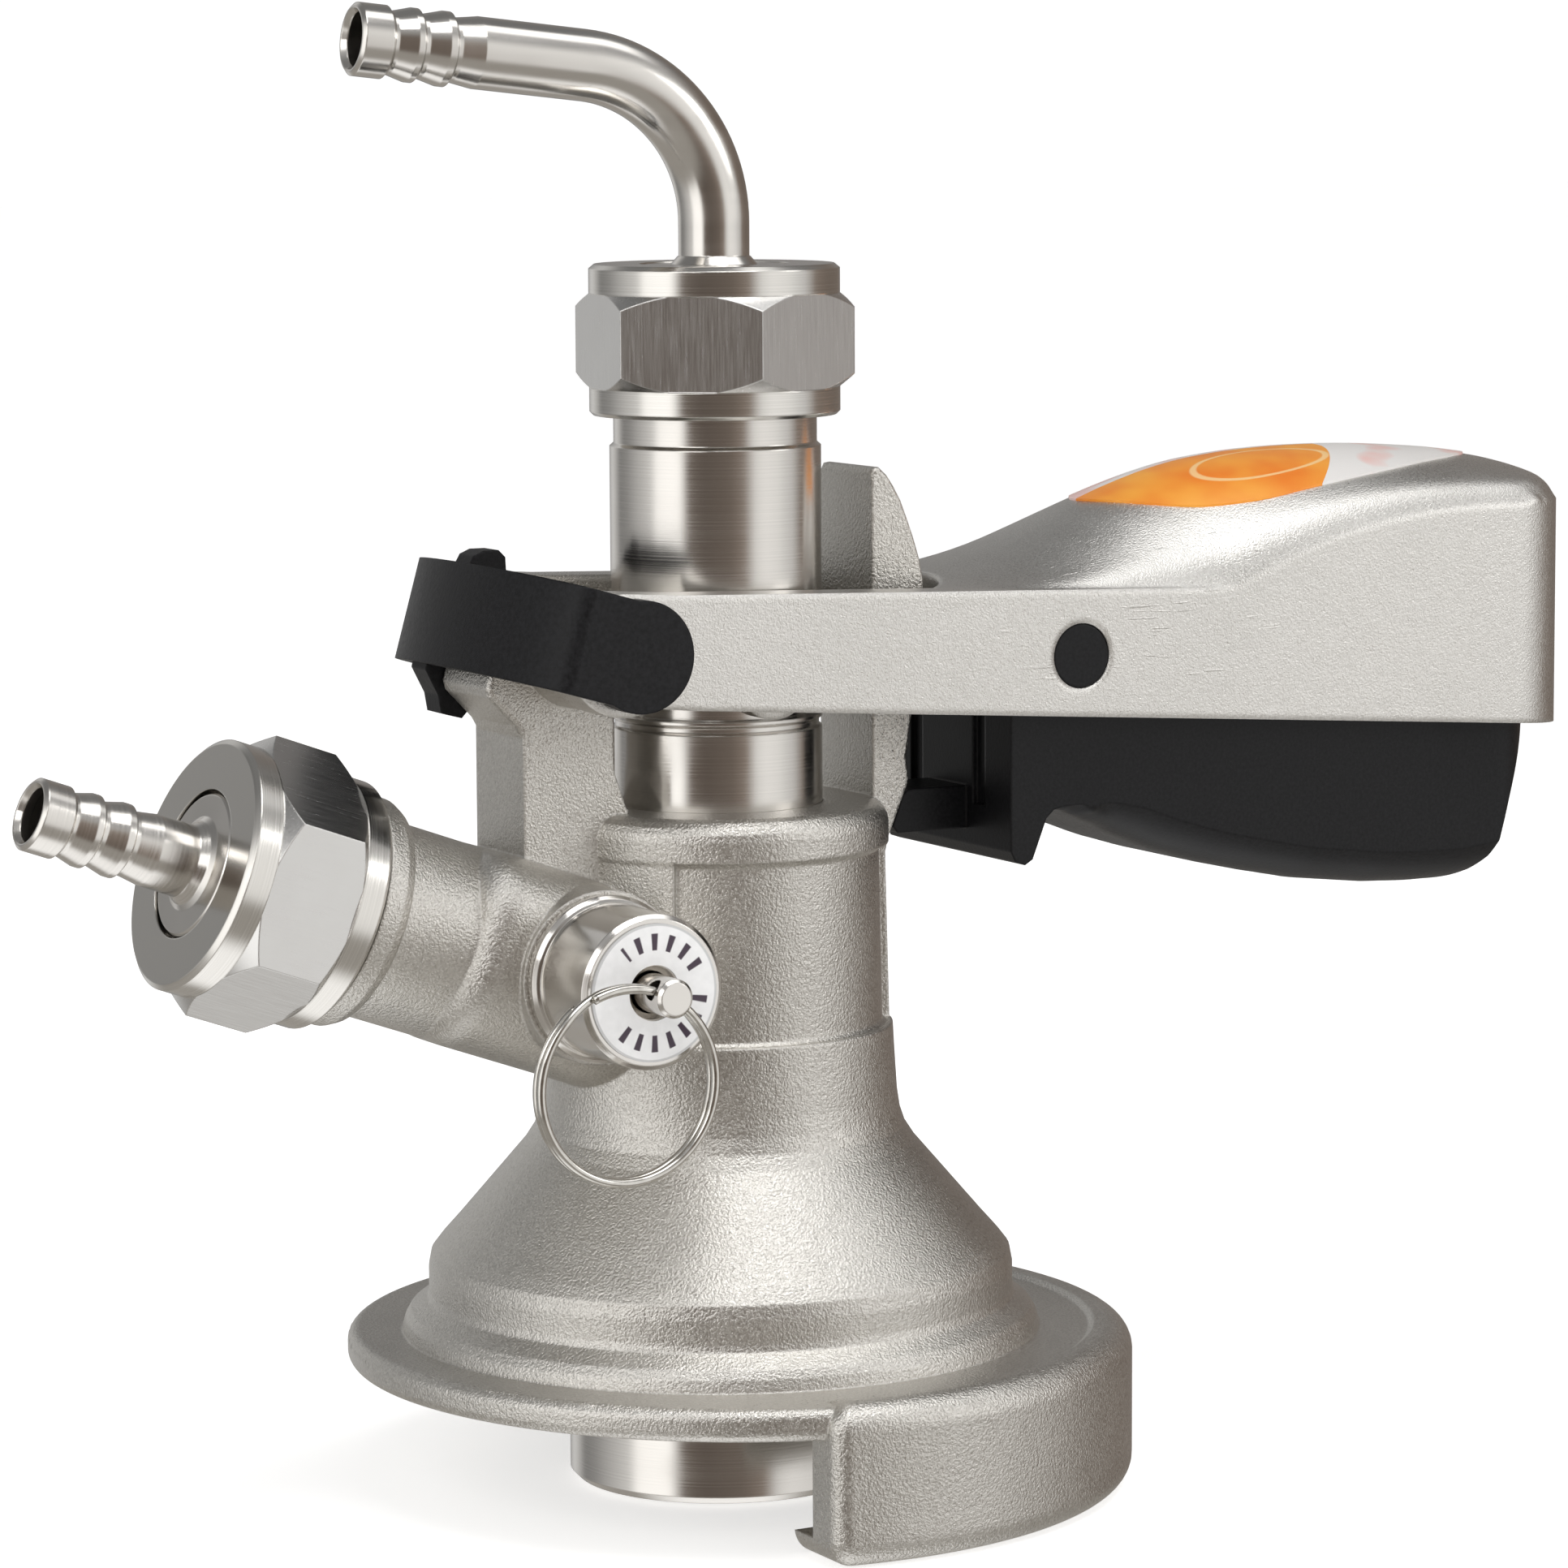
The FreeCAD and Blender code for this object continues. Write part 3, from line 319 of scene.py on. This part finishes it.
def valve_label(name):
    """white annular film with a ring of plain dark marks"""
    k = Mat(name)
    x, y, z = k.xyz(k.mapping(k.coords(), loc=(-REL.x, 0, -REL.z)))
    rad = k.math("SQRT", k.math("ADD", k.math("MULTIPLY", x, x), k.math("MULTIPLY", z, z)))
    ang = k.math("ARCTAN2", z, x)
    turn = k.math("MULTIPLY", k.math("ADD", ang, math.pi), 1.0 / (2 * math.pi))
    cells = k.math("FRACT", k.math("MULTIPLY", turn, 18.0))
    marks = k.band(cells, 0.30, 0.66, 0.04)
    ringm = k.band(rad, 4.55 * MM, 6.35 * MM, 0.00006)
    part = k.band(turn, 0.12, 0.86, 0.002)
    gap = k.band(turn, 0.485, 0.54, 0.002)
    keep_ = k.math("MULTIPLY", k.math("MULTIPLY", marks, ringm), k.math("MULTIPLY", part, k.math("SUBTRACT", 1.0, gap)))
    f = k.noise(k.coords(), 900.0, 2.0)
    white = k.mix(k.range(f, 0.3, 0.7, 0, 1), rgba(0.80, 0.80, 0.80), rgba(0.86, 0.86, 0.86))
    edge = k.band(rad, 7.15 * MM, 9 * MM, 0.00008)
    white = k.mix(edge, white, rgba(0.55, 0.55, 0.55))
    k.put(k.b.inputs["Base Color"], k.mix(keep_, white, rgba(0.05, 0.03, 0.05)))
    k.put(k.b.inputs["Roughness"], k.range(f, 0.3, 0.7, 0.30, 0.40))
    return k.m


def handle_label_film(name):
    """printed film: orange field at the front, pale field with soft rose patches behind"""
    k = Mat(name)
    v = k.coords()
    x, y, z = k.xyz(v)
    # boundary between the two fields runs across the label and bows backwards
    bow = k.math("MULTIPLY", k.math("MULTIPLY", y, y), 45.0)
    front = k.math("LESS_THAN", k.math("ADD", x, bow), 79.0 * MM)
    side = k.math("LESS_THAN", y, 0.2 * MM)
    blob = k.noise(v, 120.0, 2.0)
    orange = k.mix(k.range(blob, 0.35, 0.65, 0, 1), rgba(0.90, 0.24, 0.02), rgba(0.98, 0.42, 0.05))
    # thin pale oval line inside the orange field
    ex = k.math("DIVIDE", k.math("SUBTRACT", x, 68.0 * MM), 9.0 * MM)
    ey = k.math("DIVIDE", k.math("ADD", y, 5.6 * MM), 3.6 * MM)
    er = k.math("SQRT", k.math("ADD", k.math("MULTIPLY", ex, ex), k.math("MULTIPLY", ey, ey)))
    oval = k.band(er, 0.93, 1.03, 0.02)
    orange = k.mix(k.math("MULTIPLY", oval, 0.75), orange, rgba(0.99, 0.72, 0.35))
    rose = k.noise(k.mapping(v, loc=(0.4, 0.1, 0.0)), 160.0, 1.5)
    pale = k.mix(k.range(rose, 0.52, 0.66, 0, 0.55), rgba(0.86, 0.84, 0.82), rgba(0.90, 0.40, 0.34))
    pick = k.math("MULTIPLY", front, side)
    c = k.mix(pick, pale, orange)
    k.put(k.b.inputs["Base Color"], c)
    k.put(k.b.inputs["Roughness"], k.range(blob, 0.3, 0.7, 0.28, 0.36))
    k.put(k.b.inputs["Normal"], k.bump(k.noise(v, 500.0, 2.0), 0.05, 0.00002))
    return k.m


M_BODY = cast_steel("cast_body", 0.0)
M_HANDLE = cast_steel("cast_handle", 0.37, True)
M_PROBE = turned_steel("turned_probe")
M_TURN_Y = turned_steel("turned_valve", (math.radians(90), 0, 0), 0.14, 4200.0)
GR = math.pi / 2 - GAS_SLOPE
M_GAS_TAIL = turned_steel("turned_gas_tail", (0, GR, 0), 0.18, 3600.0)
M_TAIL = turned_steel("polished_tube", (0, 0, 0), 0.16, 300.0)
M_BEER_NUT = nut_steel("beer_nut_steel", (0, 0, -BEER_FACE_Z), (0, 0, 0), -13.45 * MM, -3.25 * MM)
M_GAS_NUT = nut_steel("gas_nut_steel", tuple(-GAS_FACE), (0, GR, 0), -13.45 * MM, -3.25 * MM)
M_WIRE = wire_steel("wire")
M_BLACK = black_plastic("black_moulding")
M_CLIP = black_plastic("black_clip", 0.44, 2000.0, 0.45, 1.3)
M_RUBBER = rubber("seal_rubber")
M_WHITE = white_plastic("white_cage")
M_LABEL = valve_label("valve_label")
M_HLABEL = handle_label_film("handle_label_film")

LOOK = {
    "body_casting": M_BODY, "handle": M_HANDLE, "probe": M_PROBE, "check_ball": M_PROBE, "hinge_pin": M_TURN_Y,
    "relief_body": M_TURN_Y, "relief_cap": M_TURN_Y, "relief_pin": M_TURN_Y, "gas_tail": M_GAS_TAIL,
    "beer_tail": M_TAIL, "beer_nut": M_BEER_NUT, "gas_nut": M_GAS_NUT, "relief_spring": M_WIRE,
    "trigger_spring": M_WIRE, "pull_ring": M_WIRE, "trigger": M_BLACK, "trigger_pin": M_BLACK, "hinge_clip": M_CLIP,
    "ball_cage": M_WHITE, "relief_label": M_LABEL, "handle_label": M_HLABEL,
}
for name, obj in nodes.items():
    mat = LOOK.get(name, M_RUBBER)
    if obj.material_slots:
        for s in obj.material_slots:
            s.material = mat
    else:
        obj.data.materials.append(mat)


# ------------------------------------------------------------------ meshes
def mesh_object(name, bm, mat, smooth=True):
    me = bpy.data.meshes.new(name)
    bm.normal_update()
    bm.to_mesh(me)
    bm.free()
    if smooth:
        for p in me.polygons:
            p.use_smooth = True
    ob = bpy.data.objects.new(name, me)
    bpy.context.scene.collection.objects.link(ob)
    me.materials.append(mat)
    return ob


def tube_along(points, radius, sides=12, caps=True):
    """closed tube mesh following the points"""
    bm = bmesh.new()
    n = len(points)
    t0 = (points[1] - points[0]).normalized()
    ref = Vector((0, 0, 1)) if abs(t0.z) < 0.9 else Vector((1, 0, 0))
    u = t0.cross(ref).normalized()
    rings = []
    for i, p in enumerate(points):
        t = (points[min(i + 1, n - 1)] - points[max(i - 1, 0)]).normalized()
        u = (u - t * u.dot(t)).normalized()
        w = t.cross(u)
        rings.append([bm.verts.new(p + (u * math.cos(2 * math.pi * j / sides) + w * math.sin(2 * math.pi * j / sides)) * radius)
                      for j in range(sides)])
    for a, b in zip(rings, rings[1:]):
        for j in range(sides):
            bm.faces.new((a[j], a[(j + 1) % sides], b[(j + 1) % sides], b[j]))
    if caps:
        bm.faces.new(list(reversed(rings[0])))
        bm.faces.new(rings[-1])
    bmesh.ops.recalc_face_normals(bm, faces=bm.faces)
    return bm


# split ring: a wire wound twice, the two turns lying side by side
ring_r, wire_r = 10.3 * MM, 0.50 * MM
centre = RING_HOLE + RING_OFF * ring_r
start = math.atan2(-RING_OFF.z, -RING_OFF.x) + math.radians(62)
pts = []
N = 260
for i in range(N + 1):
    a = start + 2 * (2 * math.pi) * i / N * 0.985
    f = i / N
    # step from the back turn to the front turn where the wire doubles
    s = min(1.0, max(0.0, (f - 0.47) / 0.06))
    off = -wire_r * 0.96 + 2 * wire_r * 0.96 * (s * s * (3 - 2 * s))
    pts.append(Vector((centre.x + ring_r * math.cos(a), centre.y - off, centre.z + ring_r * math.sin(a))))
ring = mesh_object("split_ring", tube_along(pts, wire_r, 14), M_WIRE)
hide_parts("pull_ring")
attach(ring, "ring")

# ------------------------------------------------------------------ floor and light
k = Mat("pale_floor")
f = k.noise(k.coords(), 3.0, 2.0)
k.put(k.b.inputs["Base Color"], k.mix(k.range(f, 0.3, 0.7, 0, 1), rgba(0.88, 0.88, 0.875), rgba(0.90, 0.90, 0.895)))
k.b.inputs["Roughness"].default_value = 0.75
k.b.inputs["Emission Color"].default_value = rgba(1.0, 1.0, 1.0)
k.b.inputs["Emission Strength"].default_value = 0.60
bm = bmesh.new()
bmesh.ops.create_grid(bm, x_segments=4, y_segments=4, size=6.0)
floor = mesh_object("floor", bm, k.m, False)
floor.visible_glossy = False

world = bpy.data.worlds.new("studio")
bpy.context.scene.world = world
world.use_nodes = True
wt = world.node_tree
wt.nodes.clear()
wo = wt.nodes.new("ShaderNodeOutputWorld")
bg = wt.nodes.new("ShaderNodeBackground")
wt.links.new(bg.outputs[0], wo.inputs[0])
tc = wt.nodes.new("ShaderNodeTexCoord")


def wmath(op, a, b=None, c=None):
    n = wt.nodes.new("ShaderNodeMath")
    n.operation = op
    for sck, v in zip(n.inputs, (a, b, c)):
        if isinstance(v, bpy.types.NodeSocket):
            wt.links.new(v, sck)
        elif v is not None:
            sck.default_value = v
    return n.outputs[0]


def wrange(v, lo, hi):
    r = wt.nodes.new("ShaderNodeMapRange")
    r.interpolation_type = "SMOOTHSTEP"
    wt.links.new(v, r.inputs["Value"])
    r.inputs["From Min"].default_value = lo
    r.inputs["From Max"].default_value = hi
    return r.outputs["Result"]


def wmix(fac, a, b):
    n = wt.nodes.new("ShaderNodeMix")
    n.data_type = "RGBA"
    wt.links.new(fac, n.inputs[0])
    for sck, v in ((n.inputs[6], a), (n.inputs[7], b)):
        if isinstance(v, bpy.types.NodeSocket):
            wt.links.new(v, sck)
        else:
            sck.default_value = v
    return n.outputs[2]


# studio: tall soft boxes and dark gaps round the object, a bright ceiling and a pale ground
sep = wt.nodes.new("ShaderNodeSeparateXYZ")
wt.links.new(tc.outputs["Generated"], sep.inputs[0])
turn = wmath("ARCTAN2", sep.outputs[0], wmath("MULTIPLY", sep.outputs[1], -1.0))
turn = wmath("MULTIPLY_ADD", turn, 1.0 / (2 * math.pi), 0.5)
ramp = wt.nodes.new("ShaderNodeValToRGB")
wt.links.new(turn, ramp.inputs[0])
BANDS = [(-180, 0.75, 0), (-168, 0.60, 0), (-156, 0.26, 0), (-140, 0.34, 0), (-115, 0.66, 0), (-103, 0.80, 0), (-95, 1.45, 0), (-68, 1.55, 0), (-58, 0.17, 1),
         (-40, 0.13, 1), (-12, 0.18, 1), (4, 0.30, 1), (15, 0.95, 0), (26, 1.10, 0), (43, 1.00, 0), (52, 0.85, 0),
         (64, 0.70, 0), (78, 0.26, 1), (100, 0.20, 1), (128, 0.20, 1), (160, 0.30, 0), (178, 0.70, 0)]
while len(ramp.color_ramp.elements) < len(BANDS):
    ramp.color_ramp.elements.new(0.5)
for e, (deg, val, warm) in zip(ramp.color_ramp.elements, BANDS):
    e.position = (deg + 180.0) / 360.0
    e.color = rgba(val, val * 0.82, val * 0.70) if warm else rgba(val, val * 0.995, val * 0.985)
ceiling = wmix(wrange(sep.outputs[1], -0.22, 0.28), rgba(0.43, 0.43, 0.43), rgba(0.22, 0.22, 0.22))
strip = wmath("MULTIPLY", wrange(sep.outputs[0], 0.15, 0.35), wrange(sep.outputs[0], 0.74, 0.58))
strip = wmath("MULTIPLY", strip, wrange(sep.outputs[1], -0.38, -0.22))
strip = wmath("MULTIPLY", strip, wrange(sep.outputs[1], 0.16, 0.02))
ceiling = wmix(strip, ceiling, rgba(2.0, 2.0, 2.0))
c = wmix(wrange(sep.outputs[2], 0.35, 0.75), ramp.outputs["Color"], ceiling)
c = wmix(wrange(sep.outputs[2], -0.28, -0.50), c, rgba(0.40, 0.38, 0.35))
c = wmix(wrange(sep.outputs[2], -0.78, -0.95), c, rgba(1.3, 1.3, 1.3))
lp = wt.nodes.new("ShaderNodeLightPath")
c = wmix(lp.outputs["Is Camera Ray"], c, rgba(1.05, 1.05, 1.05))
wt.links.new(c, bg.inputs["Color"])
bg.inputs["Strength"].default_value = 1.0


def area(name, loc, target, size, power, color=(1, 1, 1), size_y=None):
    d = bpy.data.lights.new(name, "AREA")
    d.energy = power
    d.color = color
    d.size = size
    if size_y:
        d.shape = "RECTANGLE"
        d.size_y = size_y
    o = bpy.data.objects.new(name, d)
    bpy.context.scene.collection.objects.link(o)
    loc, target = Vector(loc), Vector(target)
    o.location = loc
    o.rotation_euler = (target - loc).to_track_quat("-Z", "Y").to_euler()
    return o


mid = (0.0, 0.0, 0.08)
area("key_left", (-0.80, -0.55, 0.60), mid, 0.50, 1.8)
area("fill_right", (0.75, -0.65, 0.45), mid, 0.35, 1.0)
area("top", (0.0, -0.30, 0.92), mid, 0.5, 2.5)
